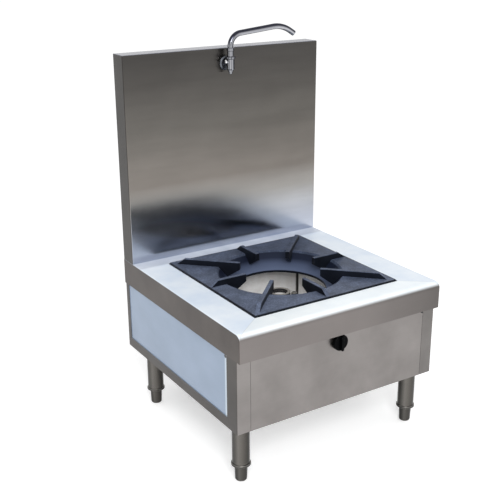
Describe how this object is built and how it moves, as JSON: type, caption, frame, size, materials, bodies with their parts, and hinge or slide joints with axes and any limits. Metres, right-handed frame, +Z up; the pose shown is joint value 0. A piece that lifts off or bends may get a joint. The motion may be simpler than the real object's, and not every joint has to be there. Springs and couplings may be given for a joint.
{
  "type": "stockpot stove",
  "caption": "Low gas stockpot stove of stainless sheet with a cast-iron ribbed pan support, a tall splashback, a swing tap over it, a gas knob and tubular legs on levelling feet",
  "frame": {"origin": "on the floor, under the middle of the worktop's plan", "axes": "+Z up, -Y is the side with the knob, +X is to the right of a cook who faces the stove"},
  "size_m": [0.7, 0.7051, 1.1915],
  "materials": {
    "stainless_sheet": "brushed stainless sheet, fine directional grain",
    "film_covered_sheet": "stainless sheet under its pale blue protective film",
    "galvanised_steel": "galvanised sheet and angle, dull grey",
    "liner_steel": "plain stainless liner, light and matt",
    "stainless_tube": "polished stainless tube",
    "cast_iron": "as cast, coated blue-black, fine grain",
    "burner_iron": "as cast, uncoated",
    "chrome": "bright chrome plate",
    "black_plastic": "moulded black, satin",
    "stainless_foot": "turned stainless foot, satin",
    "brass": "turned brass",
    "copper": "drawn copper tube",
    "zinc_steel": "zinc plated",
    "pipe_steel": "plain steel pipe"
  },
  "bodies": {
    "body": {"worktop": "stainless_sheet", "splash_shell": "stainless_sheet", "front_left_post": "stainless_sheet", "front_right_post": "stainless_sheet", "rear_left_post": "stainless_sheet", "rear_right_post": "stainless_sheet", "left_bottom_rail": "stainless_sheet", "right_bottom_rail": "stainless_sheet", "front_panel": "stainless_sheet", "left_side_panel": "film_covered_sheet", "right_side_panel": "film_covered_sheet", "splash_rear_cover": "galvanised_steel", "rear_panel": "galvanised_steel", "front_bottom_rail": "galvanised_steel", "rear_bottom_rail": "galvanised_steel", "left_upper_rail": "galvanised_steel", "right_upper_rail": "galvanised_steel", "front_upper_rail": "galvanised_steel", "rear_upper_rail": "galvanised_steel", "cross_support_rails": "galvanised_steel", "side_support_rails": "galvanised_steel", "leg_plates": "galvanised_steel", "burner_cross_bars": "galvanised_steel", "firebox_liner": "liner_steel", "spill_tray": "liner_steel", "leg_tubes": "stainless_tube", "leg_inserts": "stainless_tube", "burner_body": "burner_iron", "pilot_burner": "burner_iron", "tap_body": "chrome", "tap_gland_nut": "chrome", "tap_side_plug": "chrome", "tap_bottom_cap": "chrome", "tap_tail": "chrome", "tap_rosette": "chrome", "injector": "brass", "injector_holder": "brass", "gas_valve_body": "brass", "gas_inlet_union": "brass", "water_inlet_union": "brass", "tap_elbow": "brass", "tap_lock_nut": "brass", "valve_outlet_pipe": "copper", "water_pipe": "copper", "splash_cover_screws": "zinc_steel", "rear_panel_screws": "zinc_steel", "burner_bolts": "zinc_steel", "pipe_clips": "zinc_steel", "gas_supply_pipe": "pipe_steel"},
    "pan_support": {"pan_support": "cast_iron"},
    "burner_cap": {"burner_cap": "burner_iron"},
    "air_shutter": {"air_shutter": "zinc_steel"},
    "valve_plug": {"gas_valve_plug": "brass"},
    "control_knob": {"knob": "black_plastic", "valve_stem": "zinc_steel"},
    "spout": {"tap_spout": "chrome"},
    "front_left_foot": {"front_left_foot": "stainless_foot"},
    "front_right_foot": {"front_right_foot": "stainless_foot"},
    "rear_left_foot": {"rear_left_foot": "stainless_foot"},
    "rear_right_foot": {"rear_right_foot": "stainless_foot"}
  },
  "joints": [
    {"name": "pan_support_lift", "type": "slide", "parent": "body", "child": "pan_support", "axis": [0, 0, 1], "range_m": [0, 0.12]},
    {"name": "burner_cap_lift", "type": "slide", "parent": "body", "child": "burner_cap", "axis": [0, 0, 1], "range_m": [0, 0.09]},
    {"name": "air_shutter_turn", "type": "hinge", "parent": "body", "child": "air_shutter", "pos_m": [0, -0.2693, 0.328], "axis": [0, -1, 0], "range_deg": [0, 60]},
    {"name": "valve_turn", "type": "hinge", "parent": "body", "child": "valve_plug", "pos_m": [-0.012, -0.32, 0.374], "axis": [0, -1, 0], "range_deg": [0, 90]},
    {"name": "knob_push", "type": "slide", "parent": "valve_plug", "child": "control_knob", "axis": [0, 1, 0], "range_m": [0, 0.004], "stiffness_N_per_m": 1500},
    {"name": "spout_swing", "type": "hinge", "parent": "body", "child": "spout", "pos_m": [0, 0.257, 1.12], "axis": [0, 0, -1], "range_deg": [0, 180]},
    {"name": "front_left_foot_level", "type": "slide", "parent": "body", "child": "front_left_foot", "axis": [0, 0, -1], "range_m": [0, 0.025]},
    {"name": "front_right_foot_level", "type": "slide", "parent": "body", "child": "front_right_foot", "axis": [0, 0, -1], "range_m": [0, 0.025]},
    {"name": "rear_left_foot_level", "type": "slide", "parent": "body", "child": "rear_left_foot", "axis": [0, 0, -1], "range_m": [0, 0.025]},
    {"name": "rear_right_foot_level", "type": "slide", "parent": "body", "child": "rear_right_foot", "axis": [0, 0, -1], "range_m": [0, 0.025]}
  ]
}
